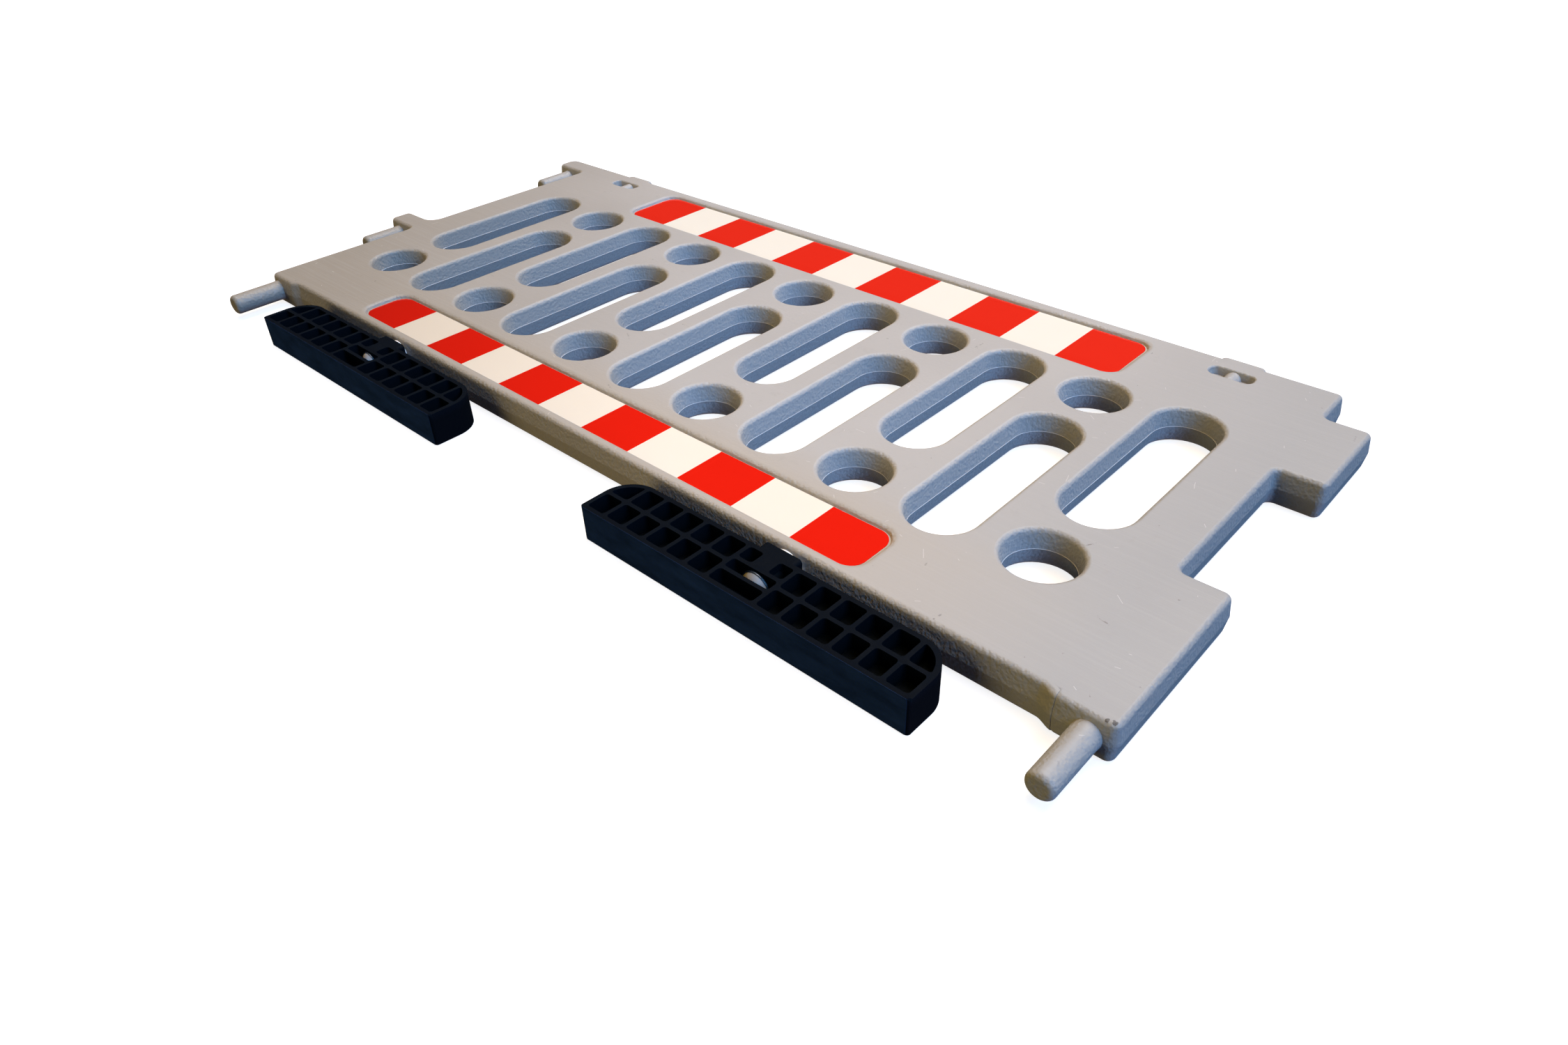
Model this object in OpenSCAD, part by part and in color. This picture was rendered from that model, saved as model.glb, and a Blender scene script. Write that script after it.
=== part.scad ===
// Plastic safety barrier: a hollow moulded panel with two rubber feet that swivel under it.
// It lies on its back as it is stacked: X runs along the barrier, Y up the panel, Z out of its front face.
// Millimetres. The origin is under the middle of the whole outline, on the surface that it lies on.

/* [Panel] */
// Width of the panel between its side edges, without tabs and hooks
panel_w = 1842; // [1700:1:2000]
// Height of the panel from its bottom edge to its top edge
panel_h = 862; // [840:1:960]
// Thickness of the panel
panel_t = 60; // [56:1:70]
// Wall of the hollow moulding
wall = 4.5; // [3.5:0.5:6]
// How far an outer wall leans in from the parting line to either face
outer_draft = 4; // [2:0.5:6]
// Radius along the edges of both faces
edge_r = 8; // [5:0.5:9]
// Radius of the outer corners, seen from the front
corner_r = 14; // [13:1:20]

/* [Holes] */
// Number of columns of holes
columns = 11; // [9:2:11]
// Distance of the outer columns from the panel's side edges
column_in = 149; // [145:0.5:160]
// Radius of a hole at the parting line
hole_r = 50; // [42:0.5:54]
// How far a hole's wall leans out from the parting line to either face
hole_draft = 5.5; // [3:0.5:7]
// Height of the lower row of centres above the bottom edge
row_low = 202; // [198:1:215]
// Depth of the upper row of centres below the top edge
row_drop = 250; // [242:1:262]
// Distance from a round hole's centre to the near end centre of the slot in its column
hole_gap = 148; // [140:1:170]

/* [Warning strips] */
// Width of one red or white block
block_w = 110; // [90:1:118]
// Number of blocks in a strip
blocks = 11; // [7:2:11]
// Height of the top strip
top_strip_h = 136; // [100:1:138]
// Depth of its upper edge below the top edge of the panel
top_strip_drop = 31; // [28:1:36]
// Height of the bottom strip
bottom_strip_h = 92; // [60:1:94]
// Height of its lower edge above the bottom edge of the panel
bottom_strip_y = 24; // [20:1:26]
// Thickness of the reflective film
film_t = 0.5; // [0.3:0.1:1]
// Corner radius of a strip's ends
strip_corner_r = 26; // [14:1:30]
// Depth of the recess that a strip lies in
recess_depth = 6.6; // [4:0.1:8]
// Margin of the recess floor round a strip
recess_margin = 2; // [1:0.5:4]

/* [Connectors] */
// How far the two right-hand tabs stand out
tab_out = 72; // [64:1:90]
// Depth of the upper right-hand tab's upper face below the panel's top edge
tab_high_drop = 89; // [80:1:110]
// Height of the upper right-hand tab
tab_high_h = 190; // [150:1:200]
// Height of the lower right-hand tab's upper face
tab_low_top = 288; // [240:1:320]
// How far the two left-hand hooks stand out
hook_out = 92; // [84:1:110]
// Height of a hook
hook_h = 56; // [50:1:70]
// Height of the lower hook's upper face
hook_low_top = 377; // [360:1:460]
// Radius of the upper hook's outer top corner
hook_corner_r = 24; // [16:1:30]
// Distance of a connector pin's axis from the left edge
pin_out = 55; // [48:1:60]
// Radius of every moulded pin
pin_r = 19; // [15:0.5:20]
// Length of a connector pin
pin_l = 86; // [60:1:95]
// Radius at a pin's tip
pin_tip_r = 7; // [4:1:10]
// Length of a pin's widened root
pin_root_l = 8; // [6:1:12]
// Clearance round a connector pin in a neighbour's socket
socket_gap = 2; // [1:0.5:3]
// Depth that a socket has below a seated pin
socket_spare = 10; // [5:1:30]

/* [Bottom corners] */
// Length of the two bottom pins
corner_pin_l = 97; // [70:1:105]
// Distance of the left bottom pin's axis from the left edge
corner_pin_in = 27; // [26:1:40]
// Width of the lowered pad round a bottom pin
corner_pad_w = 88; // [70:1:110]
// How far a corner pad stands below the bottom edge
corner_pad_drop = 8; // [4:1:12]

/* [Lamp mounts] */
// Distance of each lamp mount from the panel's nearer side edge
lamp_in = 166; // [140:1:220]
// Width of the raised pad over a lamp mount
lamp_pad_w = 83; // [70:1:100]
// Height of the raised pad
lamp_pad_h = 9; // [5:1:14]
// Radius of the bore for the lamp's bolt
lamp_bore_r = 9; // [6:0.5:9.5]
// Depth of the bore below the raised pad
lamp_bore_l = 100; // [90:1:130]
// Width and height of the pocket in front of the bore, with its rounded rim
lamp_pocket = [82, 38];
// Depth of the pocket
lamp_pocket_depth = 14; // [8:1:15]
// Height of the pocket's middle below the panel's top edge
lamp_pocket_drop = 51; // [46:1:60]
// Outer radius of the round boss that shows in the pocket
lamp_boss_r = 14; // [12.5:0.5:14.5]

/* [Feet] */
// Length of a foot
foot_l = 572; // [560:1:640]
// Height of a foot from its sole to its top face
foot_h = 95; // [92:1:110]
// Thickness of a foot
foot_t = 57; // [53:1:58]
// Radius of the two upper ends of a foot
foot_end_r = 50; // [40:1:60]
// Distance of each swivel axis from the nearer end of the panel with its tabs
foot_in = 480; // [440:1:560]
// Width of the collar that turns under the panel
collar_w = 64; // [54:1:70]
// Height of the collar above the foot's top face
collar_h = 14; // [8:1:20]
// Corner radius of the collar
collar_r = 6; // [3:1:10]
// Thickness of the web between the cells of the two sides
foot_web = 5; // [3:0.5:8]
// Thickness of the ribs between the cells
foot_rib = 6.5; // [5:0.5:7.5]
// Thickness of the foot's outer walls
foot_skin = 7.5; // [6:0.5:9]
// Number of cells in a row on each side of the middle
cell_columns = 6; // [4:1:6]
// Corner radius of a cell
cell_r = 5; // [3:0.5:6]
// Width of the middle field with the boss
boss_field_w = 77; // [72:1:84]
// Width of the flat part of the boss between its two small cells
boss_flat_w = 29; // [28:1:36]
// Radius of the round boss behind it
boss_r = 22; // [20:0.5:26]
// Height of the small cells beside the boss
boss_cell_h = 25; // [18:1:26]
// Height of the open slot that holds the bolt's head
head_slot_h = 19; // [17:1:20]

/* [Swivel] */
// Radius of the pivot bolt's shank
bolt_r = 8; // [6:0.5:9]
// Radius of its domed head
bolt_head_r = 23; // [18:0.5:25]
// Height of its domed head
bolt_head_h = 8; // [6:0.5:9]
// Thickness of the steel washer over the head
head_washer_t = 2.5; // [1.5:0.5:4]
// Radius of the steel washer
head_washer_r = 25; // [20:0.5:26]
// Thickness of the thrust washer between foot and panel
thrust_t = 6; // [3:0.5:10]
// Radius of the thrust washer
thrust_r = 25; // [20:0.5:28]
// Outer radius of the steel sleeve that the foot turns on
sleeve_r = 11.5; // [11:0.5:14]
// Outer radius of the threaded insert in the panel
insert_r = 15; // [12:0.5:17]
// Length of the threaded insert
insert_l = 45; // [30:1:60]
// Radial play between foot and sleeve
swivel_play = 0.08; // [0.05:0.01:0.1]
// Radial play of the bolt in its sleeve, washers and insert
bolt_play = 0.05; // [0.05:0.01:0.1]
// Gap under a face that slides as a foot turns
face_play = 0.3; // [0.2:0.05:0.5]

/* [Hidden] */
$fn = 48;

// How far a cutter reaches past the face that it opens
over = 1;
// How deep a joined piece is buried in the panel, clear of both pieces' rounded edges
bury = 60;
// Fillets between tabs or hooks and the panel's side edges
tab_fillet_r = 8;
hook_fillet_r = 12;
hook_top_fillet_r = 22;
// Pocket and recess walls
recess_draft = 2.5;
recess_edge_r = 5;
pocket_draft = 3;
pocket_edge_r = 4;
pocket_corner_r = 9;

// The outline's extent, and the shift that centres it over the origin
left_end = -panel_w / 2 - hook_out;
right_end = panel_w / 2 + tab_out;
sole_y = -thrust_t - collar_h - foot_h;
top_end = panel_h + lamp_pad_h;
shift = [-(left_end + right_end) / 2, -(sole_y + top_end) / 2, panel_t / 2];

half_t = panel_t / 2;
column_pitch = (panel_w - 2 * column_in) / (columns - 1);
row_high = panel_h - row_drop;
slot_run = row_high - row_low - hole_gap;
top_strip_y = panel_h - top_strip_drop - top_strip_h;
tab_high = [panel_h - tab_high_drop - tab_high_h, panel_h - tab_high_drop];
lamp_x = panel_w / 2 - lamp_in;
pin_x = panel_w / 2 + tab_out / 2;
hook_pin_x = -panel_w / 2 - pin_out;
hook_high_top = panel_h;
socket_r = pin_r + socket_gap;
pin_root = socket_gap / 2;
socket_l = pin_l + socket_spare;
corner_pin_x = -panel_w / 2 + corner_pin_in;
lamp_z = half_t - lamp_boss_r - 3;

// The feet sit evenly under the panel with its tabs
foot_x = [-panel_w / 2 + foot_in, right_end - foot_in];
foot_top_y = sole_y + foot_h;
collar_top_y = foot_top_y + collar_h;
small_cell_y0 = foot_h - foot_skin - boss_cell_h;
head_slot_y0 = small_cell_y0 - foot_rib - head_slot_h;
seat_y = sole_y + head_slot_y0 + head_slot_h;
head_top_y = seat_y - face_play - head_washer_t;
bolt_top_y = insert_l - 5;
cell_pitch = (foot_l / 2 - boss_field_w / 2 - foot_skin) / cell_columns;
cell_rows_h = (foot_h - 2 * foot_skin - foot_rib) / 2;

strip_l = blocks * block_w;
strip_z = half_t - recess_depth;

// The panel's outline at the parting line, anticlockwise: x, y and the corner's radius, negative in a fillet
outline = [
  [-panel_w / 2, 0, corner_r],
  [right_end, 0, corner_r],
  [right_end, tab_low_top, corner_r],
  [panel_w / 2, tab_low_top, -tab_fillet_r],
  [panel_w / 2, tab_high[0], -tab_fillet_r],
  [right_end, tab_high[0], corner_r],
  [right_end, tab_high[1], corner_r],
  [panel_w / 2, tab_high[1], -tab_fillet_r],
  [panel_w / 2, panel_h, corner_r],
  [left_end, panel_h, hook_corner_r],
  [left_end, panel_h - hook_h, corner_r],
  [-panel_w / 2, panel_h - hook_h, -hook_fillet_r],
  [-panel_w / 2, hook_low_top, -hook_top_fillet_r],
  [left_end, hook_low_top, corner_r],
  [left_end, hook_low_top - hook_h, corner_r],
  [-panel_w / 2, hook_low_top - hook_h, -hook_fillet_r]];

// Middle of column i
function column_x(i) = (i - (columns - 1) / 2) * column_pitch;
// Lean of a wall that moves sideways by d over a height h
function lean(d, h) = atan(d / h);
// Sideways reach of a rounded edge of radius r on a wall that leans by a
function reach(r, a) = r * (1 - sin(a)) / cos(a);

// Section of the panel's border, as wide as a corner's radius: the parting line is at x = 0, and the wall
// leans in and is rounded towards both faces. Its numbers don't depend on a corner's radius, so that the
// sections of neighbouring border pieces match.
module border_section() {
  a = lean(outer_draft, half_t);
  c = -outer_draft - reach(edge_r, a);
  k = half_t - edge_r;
  t = [c + edge_r * cos(a), k + edge_r * sin(a)];
  intersection() {
    union() {
      polygon([[-corner_r, -half_t], [c, -half_t], [t.x, -t.y], [0, 0], t, [c, half_t], [-corner_r, half_t]]);
      for (s = [-1, 1]) translate([c, s * k]) circle(edge_r);
    }
    translate([-corner_r, -half_t]) square([corner_r, panel_t]);
  }
}

// Half section of a solid that reaches from the axis out to radius r
module solid_half(r) {
  translate([r, 0]) border_section();
  if (r > corner_r) translate([0, -half_t]) square([r - corner_r, panel_t]);
}

// Half section of a pocket from the plane z0 up to the front face: radius r at its floor, wall leaning out
// by d, rim rounded by e
module pocket_half(r, z0, d, e) {
  h = half_t - z0;
  a = lean(d, h);
  c = r + d + reach(e, a);
  t = [c - e * cos(a), half_t - e + e * sin(a)];
  difference() {
    polygon([[0, z0], [r, z0], t, [c, half_t], [c, half_t + over], [0, half_t + over]]);
    translate([c, half_t - e]) circle(e);
  }
}

// Half section of a hole right through the panel
module hole_half(r, d, e) {
  pocket_half(r, 0, d, e);
  mirror([0, 1]) pocket_half(r, 0, d, e);
}

// Plain half section of the hollow inside, and of the tube that it leaves round a hole
module cavity_half(r) {
  polygon([[0, wall - half_t], [r - outer_draft, wall - half_t], [r, 0],
    [r - outer_draft, half_t - wall], [0, half_t - wall]]);
}
module tube_half(r, d) {
  polygon([[0, -half_t], [r + d, -half_t], [r, 0], [r + d, half_t], [0, half_t]]);
}

// Draws a section along +Y for a length
module run(l) {
  rotate([90, 0, 0]) mirror([0, 0, 1]) linear_extrude(l) children();
}

// Sweeps a half section round a rectangle whose corners have radius r
module swept(x0, x1, y0, y1, r, z0, z1) {
  w = x1 - x0 - 2 * r;
  l = y1 - y0 - 2 * r;
  corners = [[x1 - r, y1 - r], [x0 + r, y1 - r], [x0 + r, y0 + r], [x1 - r, y0 + r]];
  for (i = [0:3]) translate(corners[i]) rotate([0, 0, 90 * i]) {
    rotate_extrude(angle = 90) children();
    rotate([0, 0, 180]) mirror([1, 0, 0]) run(i % 2 == 0 ? l : w) children();
  }
  translate([x0 + r, y0 + r, z0]) cube([w, l, z1 - z0]);
}

// Sweeps a half section round a slot that runs up from y0 to y1
module slot_swept(y0, y1) {
  translate([0, y1, 0]) rotate_extrude(angle = 180) children();
  translate([0, y0, 0]) rotate([0, 0, 180]) rotate_extrude(angle = 180) children();
  translate([0, y0, 0]) run(y1 - y0) {
    children();
    mirror([1, 0]) children();
  }
}

// One solid region of the panel, with leaning walls and rounded edges and corners
module region(x0, x1, y0, y1, r = corner_r) {
  swept(x0, x1, y0, y1, r, -half_t, half_t) solid_half(r);
}

// Direction of the outline's edge that leaves point i
function along(i) = let(n = len(outline), p = outline[i % n], q = outline[(i + 1) % n],
  d = [q.x - p.x, q.y - p.y]) d / norm(d);
// Where the middle of the panel meets its rounded border at point i
function inner_corner(i) = let(n = len(outline), p = [outline[i].x, outline[i].y], r = outline[i].z,
  back = -along(i + n - 1), ahead = along(i), b = corner_r)
  r < 0 ? [p - b * back - b * ahead] :
  r <= b ? [p + b * back + b * ahead] :
  [p + r * back + b * ahead, p + r * back + r * ahead, p + b * back + r * ahead];

// The panel's plain form: a flat middle, and a border piece for each edge and corner of the outline
module outlined_form() {
  translate([0, 0, -half_t]) linear_extrude(panel_t)
    polygon([for (i = [0:len(outline) - 1]) each inner_corner(i)]);
  for (i = [0:len(outline) - 1]) {
    p = outline[i];
    q = outline[(i + 1) % len(outline)];
    d = along(i);
    in = along(i + len(outline) - 1);
    l = norm([q.x - p.x, q.y - p.y]) - abs(p.z) - abs(q.z);
    translate([p.x, p.y, 0]) rotate([0, 0, atan2(d.y, d.x) - 90])
      translate([0, abs(p.z), 0]) run(l) border_section();
    if (p.z > 0)
      translate([p.x - in.x * p.z + d.x * p.z, p.y - in.y * p.z + d.y * p.z, 0])
        rotate([0, 0, atan2(in.y, in.x) - 90]) rotate_extrude(angle = 90) solid_half(p.z);
    else
      translate([p.x, p.y, 0]) rotate([0, 0, atan2(in.y, in.x) + 180]) wall_fillet(-p.z);
  }
}

// Fillet of radius r in the corner between two outer walls: a turned border, and plain material behind it
module wall_fillet(r) {
  translate([r, r, 0]) rotate([0, 0, 180]) rotate_extrude(angle = 90)
    translate([r, 0]) mirror([1, 0]) border_section();
  translate([0, 0, -half_t]) linear_extrude(panel_t) difference() {
    translate([-corner_r, -corner_r]) square(r + corner_r);
    translate([r, r]) circle(r + corner_r - over);
  }
}

// A moulded pin that hangs from y: its root widens into the panel and its tip is rounded
module moulded_pin(x, y, l) {
  translate([x, y, 0]) rotate([90, 0, 0]) {
    translate([0, 0, -wall]) cylinder(r1 = pin_r + pin_root, r2 = pin_r, h = wall + pin_root_l);
    translate([0, 0, pin_root_l]) cylinder(r = pin_r, h = l - pin_tip_r - pin_root_l);
    translate([0, 0, l - pin_tip_r]) rotate_extrude() intersection() {
      union() {
        square([pin_r - pin_tip_r, pin_tip_r]);
        translate([pin_r - pin_tip_r, 0]) circle(pin_tip_r);
      }
      square([pin_r, pin_tip_r]);
    }
  }
}

// All round and slotted holes, each swept from the half section that is given
module hole_pattern() {
  for (i = [0:columns - 1]) translate([column_x(i), 0, 0]) {
    round_y = i % 2 == 0 ? row_low : row_high;
    slot_y = i % 2 == 0 ? row_high - slot_run : row_low;
    translate([0, round_y, 0]) rotate_extrude() children();
    slot_swept(slot_y, slot_y + slot_run) children();
  }
}

// The hollow inside the moulding
module cavity() {
  difference() {
    union() {
      cavity_region(-panel_w / 2, panel_w / 2, 0, panel_h);
      for (y = [tab_high, [0, tab_low_top]])
        cavity_region(panel_w / 2 - bury, right_end, y[0], y[1]);
      cavity_region(right_end - corner_pad_w, right_end, -corner_pad_drop, bury);
      cavity_region(-panel_w / 2, -panel_w / 2 + corner_pad_w, -corner_pad_drop, bury);
      for (y = [hook_high_top, hook_low_top])
        cavity_region(left_end, -panel_w / 2 + bury, y - hook_h, y);
      pin_cores();
    }
    hole_pattern() tube_half(hole_r + wall, hole_draft);
    for (s = [[top_strip_y, top_strip_h], [bottom_strip_y, bottom_strip_h]]) {
      m = recess_margin + wall + recess_draft;
      translate([-strip_l / 2 - m, s[0] - m, strip_z - wall])
        cube([strip_l + 2 * m, s[1] + 2 * m, recess_depth + wall]);
    }
    for (s = [-1, 1]) {
      m = pocket_draft + wall;
      translate([s * lamp_x, panel_h - lamp_pocket_drop, half_t - lamp_pocket_depth - wall])
        translate([-lamp_pocket.x / 2 - m, -lamp_pocket.y / 2 - m, 0])
        cube([lamp_pocket.x + 2 * m, lamp_pocket.y + 2 * m, lamp_pocket_depth + wall]);
      translate([s * lamp_x, top_end - lamp_bore_l - wall, lamp_z]) rotate([-90, 0, 0])
        cylinder(r = lamp_boss_r + 0.5, h = lamp_bore_l + wall);
    }
    for (y = [tab_high[1], tab_low_top])
      translate([pin_x, y - socket_l - wall, 0]) rotate([-90, 0, 0])
        cylinder(r = half_t - wall + over, h = socket_l + wall + over);
    for (x = foot_x) translate([x, 0, 0]) rotate([-90, 0, 0])
      cylinder(r = insert_r + 2 * wall, h = insert_l + 2 * wall);
  }
}

module cavity_region(x0, x1, y0, y1) {
  r = corner_r - wall;
  swept(x0 + wall, x1 - wall, y0 + wall, y1 - wall, r, wall - half_t, half_t - wall) cavity_half(r);
}

// The hollow runs on down each pin
module pin_cores() {
  for (p = [[hook_pin_x, hook_high_top - hook_h, pin_l], [hook_pin_x, hook_low_top - hook_h, pin_l],
      [pin_x, -corner_pad_drop, corner_pin_l], [corner_pin_x, -corner_pad_drop, corner_pin_l]])
    translate([p.x, p.y + 2 * wall, 0]) rotate([90, 0, 0])
      cylinder(r = pin_r - wall, h = p.z + wall - pin_tip_r);
}

// The outer form of the moulding before anything is cut into it
module panel_form() {
  outlined_form();
  region(right_end - corner_pad_w, right_end, -corner_pad_drop, bury);
  region(-panel_w / 2, -panel_w / 2 + corner_pad_w, -corner_pad_drop, bury);
  for (s = [-1, 1])
    region(s * lamp_x - lamp_pad_w / 2, s * lamp_x + lamp_pad_w / 2, panel_h - bury, top_end);
  moulded_pin(hook_pin_x, hook_high_top - hook_h, pin_l);
  moulded_pin(hook_pin_x, hook_low_top - hook_h, pin_l);
  moulded_pin(pin_x, -corner_pad_drop, corner_pin_l);
  moulded_pin(corner_pin_x, -corner_pad_drop, corner_pin_l);
}

// The recess that a strip lies in, from its lower edge y and height h
module strip_recess(y, h) {
  m = recess_margin;
  r = strip_corner_r + m;
  swept(-strip_l / 2 - 2 * m, strip_l / 2 + 2 * m, y - m, y + h + m, r, strip_z, half_t + over)
    pocket_half(r, strip_z, recess_draft, recess_edge_r);
}

// The pocket in front of a lamp bore, with the boss left standing in it
module lamp_pocket_cut() {
  r = pocket_corner_r;
  z0 = half_t - lamp_pocket_depth;
  m = pocket_draft + pocket_edge_r;
  x = lamp_pocket.x / 2 - m;
  y = lamp_pocket.y / 2 - m;
  difference() {
    swept(-x, x, -y, y, r, z0, half_t + over) pocket_half(r, z0, pocket_draft, pocket_edge_r);
    translate([0, -lamp_pocket.y, lamp_z]) rotate([-90, 0, 0])
      cylinder(r = lamp_boss_r, h = 2 * lamp_pocket.y);
  }
}

module panel() {
  color([0.74, 0.72, 0.69]) translate(shift) difference() {
    panel_form();
    cavity();
    hole_pattern() hole_half(hole_r, hole_draft, edge_r);
    strip_recess(top_strip_y, top_strip_h);
    strip_recess(bottom_strip_y, bottom_strip_h);
    for (s = [-1, 1]) translate([s * lamp_x, 0, 0]) {
      translate([0, panel_h - lamp_pocket_drop, 0]) lamp_pocket_cut();
      translate([0, top_end - lamp_bore_l, lamp_z]) rotate([-90, 0, 0])
        cylinder(r = lamp_bore_r, h = lamp_bore_l + over);
    }
    for (y = [tab_high[1], tab_low_top]) translate([pin_x, y - socket_l, 0]) rotate([-90, 0, 0])
      cylinder(r = socket_r, h = socket_l + over);
    for (x = foot_x) translate([x, -over, 0]) rotate([-90, 0, 0])
      cylinder(r = insert_r + bolt_play, h = insert_l + over);
  }
}

// Outline of a whole strip with its rounded ends
module strip_outline(h) {
  for (s = [-1, 1]) for (y = [strip_corner_r, h - strip_corner_r])
    translate([s * (strip_l / 2 - strip_corner_r), y]) circle(strip_corner_r);
  translate([-strip_l / 2, strip_corner_r]) square([strip_l, h - 2 * strip_corner_r]);
  translate([-strip_l / 2 + strip_corner_r, 0]) square([strip_l - 2 * strip_corner_r, h]);
}

// Every second block of a strip, starting with block n
module strip(y, h, n) {
  translate(shift) translate([0, y, strip_z]) linear_extrude(film_t) intersection() {
    strip_outline(h);
    for (i = [n:2:blocks - 1]) translate([-strip_l / 2 + i * block_w, 0]) square([block_w, h]);
  }
}
module strip_top_red() { color([0.9, 0.1, 0.06]) strip(top_strip_y, top_strip_h, 0); }
module strip_top_white() { color([0.97, 0.96, 0.9]) strip(top_strip_y, top_strip_h, 1); }
module strip_bottom_red() { color([0.9, 0.1, 0.06]) strip(bottom_strip_y, bottom_strip_h, 0); }
module strip_bottom_white() { color([0.97, 0.96, 0.9]) strip(bottom_strip_y, bottom_strip_h, 1); }

// Side view of a foot, set in from its outer surface by m; y is 0 at the sole
module foot_outline(m = 0) {
  w = foot_l / 2 - m;
  r = foot_end_r - m;
  intersection() {
    union() {
      translate([-w, m]) square([2 * w, foot_h - m - foot_end_r]);
      translate([-w + r, m]) square([2 * (w - r), foot_h - 2 * m]);
      for (s = [-1, 1]) translate([s * (w - r), foot_h - foot_end_r]) circle(r);
    }
    translate([-w - over, m]) square([2 * (w + over), foot_h]);
  }
}

// A cell with rounded corners
module cell(x0, x1, y0, y1) {
  translate([x0, y0 + cell_r]) square([x1 - x0, y1 - y0 - 2 * cell_r]);
  translate([x0 + cell_r, y0]) square([x1 - x0 - 2 * cell_r, y1 - y0]);
  for (x = [x0 + cell_r, x1 - cell_r]) for (y = [y0 + cell_r, y1 - cell_r]) translate([x, y]) circle(cell_r);
}

// The cells of one side, two rows on either side of the middle field
module foot_cells() {
  for (s = [0, 1]) mirror([s, 0]) {
    for (i = [0:cell_columns - 1]) for (j = [0, 1]) {
      x = boss_field_w / 2 + i * cell_pitch;
      y = foot_skin + j * (cell_rows_h + foot_rib);
      intersection() {
        cell(x + foot_rib, x + cell_pitch, y, y + cell_rows_h);
        foot_outline(foot_skin);
      }
    }
    cell(boss_flat_w / 2, boss_field_w / 2, small_cell_y0, small_cell_y0 + boss_cell_h);
  }
  cell(-boss_field_w / 2, boss_field_w / 2, foot_skin, head_slot_y0 - foot_rib);
}

// A foot about its swivel axis, with the collar that carries the load under the panel
module foot_shape() {
  side_depth = (foot_t - foot_web) / 2;
  difference() {
    union() {
      difference() {
        translate([0, 0, -foot_t / 2]) linear_extrude(foot_t) foot_outline();
        for (s = [0, 1]) mirror([0, 0, s])
          translate([0, 0, foot_web / 2]) linear_extrude(side_depth + over) foot_cells();
      }
      translate([0, small_cell_y0 - foot_rib, 0]) rotate([-90, 0, 0])
        cylinder(r = boss_r, h = foot_h - small_cell_y0 + foot_rib - foot_skin / 2);
      translate([0, foot_h - foot_skin, 0]) rotate([-90, 0, 0]) linear_extrude(foot_skin + collar_h)
        translate([-collar_w / 2, -foot_t / 2]) collar_outline();
    }
    translate([0, 0, -foot_t / 2 - over]) linear_extrude(foot_t + 2 * over)
      cell(-boss_field_w / 2, boss_field_w / 2, head_slot_y0, head_slot_y0 + head_slot_h);
    translate([0, head_slot_y0, 0]) rotate([-90, 0, 0])
      cylinder(r = sleeve_r + swivel_play, h = foot_h + collar_h - head_slot_y0 + over);
  }
}
module collar_outline() {
  translate([collar_r, 0]) square([collar_w - 2 * collar_r, foot_t]);
  translate([0, collar_r]) square([collar_w, foot_t - 2 * collar_r]);
  for (x = [collar_r, collar_w - collar_r]) for (y = [collar_r, foot_t - collar_r])
    translate([x, y]) circle(collar_r);
}

// Places what belongs to one swivel, at height y on its axis with the axis along +Y
module at_swivel(side, y) {
  translate(shift) translate([foot_x[side], y, 0]) rotate([-90, 0, 0]) children();
}
module foot(side) {
  translate(shift) translate([foot_x[side], sole_y, 0]) foot_shape();
}
module foot_left() { color([0.05, 0.06, 0.08]) foot(0); }
module foot_right() { color([0.05, 0.06, 0.08]) foot(1); }

// The bolt: a domed head below the washer and a shank up into the insert
module pivot_bolt(side) {
  dome = (pow(bolt_head_r, 2) + pow(bolt_head_h, 2)) / (2 * bolt_head_h);
  at_swivel(side, head_top_y) {
    cylinder(r = bolt_r, h = bolt_top_y - head_top_y);
    translate([0, 0, -bolt_head_h]) intersection() {
      translate([0, 0, dome]) sphere(dome);
      cylinder(r = bolt_head_r, h = bolt_head_h);
    }
  }
}
module pivot_bolt_left() { color([0.95, 0.94, 0.9]) pivot_bolt(0); }
module pivot_bolt_right() { color([0.95, 0.94, 0.9]) pivot_bolt(1); }

// A round washer or tube with its lower face at y
module ring(side, y, r, h) {
  at_swivel(side, y) difference() {
    cylinder(r = r, h = h);
    translate([0, 0, -over]) cylinder(r = bolt_r + bolt_play, h = h + 2 * over);
  }
}
module head_washer_left() { color([0.6, 0.62, 0.64]) ring(0, head_top_y, head_washer_r, head_washer_t); }
module head_washer_right() { color([0.6, 0.62, 0.64]) ring(1, head_top_y, head_washer_r, head_washer_t); }
module thrust_washer(side) { ring(side, collar_top_y + face_play, thrust_r, thrust_t - face_play); }
module thrust_washer_left() { color([0.95, 0.94, 0.9]) thrust_washer(0); }
module thrust_washer_right() { color([0.95, 0.94, 0.9]) thrust_washer(1); }
module pivot_sleeve(side) {
  y = head_top_y + head_washer_t;
  ring(side, y, sleeve_r, collar_top_y + face_play - y);
}
module pivot_sleeve_left() { color([0.6, 0.62, 0.64]) pivot_sleeve(0); }
module pivot_sleeve_right() { color([0.6, 0.62, 0.64]) pivot_sleeve(1); }
module bolt_insert_left() { color([0.8, 0.66, 0.3]) ring(0, 0, insert_r, insert_l); }
module bolt_insert_right() { color([0.8, 0.66, 0.3]) ring(1, 0, insert_r, insert_l); }

panel();
strip_top_red();
strip_top_white();
strip_bottom_red();
strip_bottom_white();
foot_left();
foot_right();
pivot_bolt_left();
pivot_bolt_right();
head_washer_left();
head_washer_right();
thrust_washer_left();
thrust_washer_right();
pivot_sleeve_left();
pivot_sleeve_right();
bolt_insert_left();
bolt_insert_right();
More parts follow.
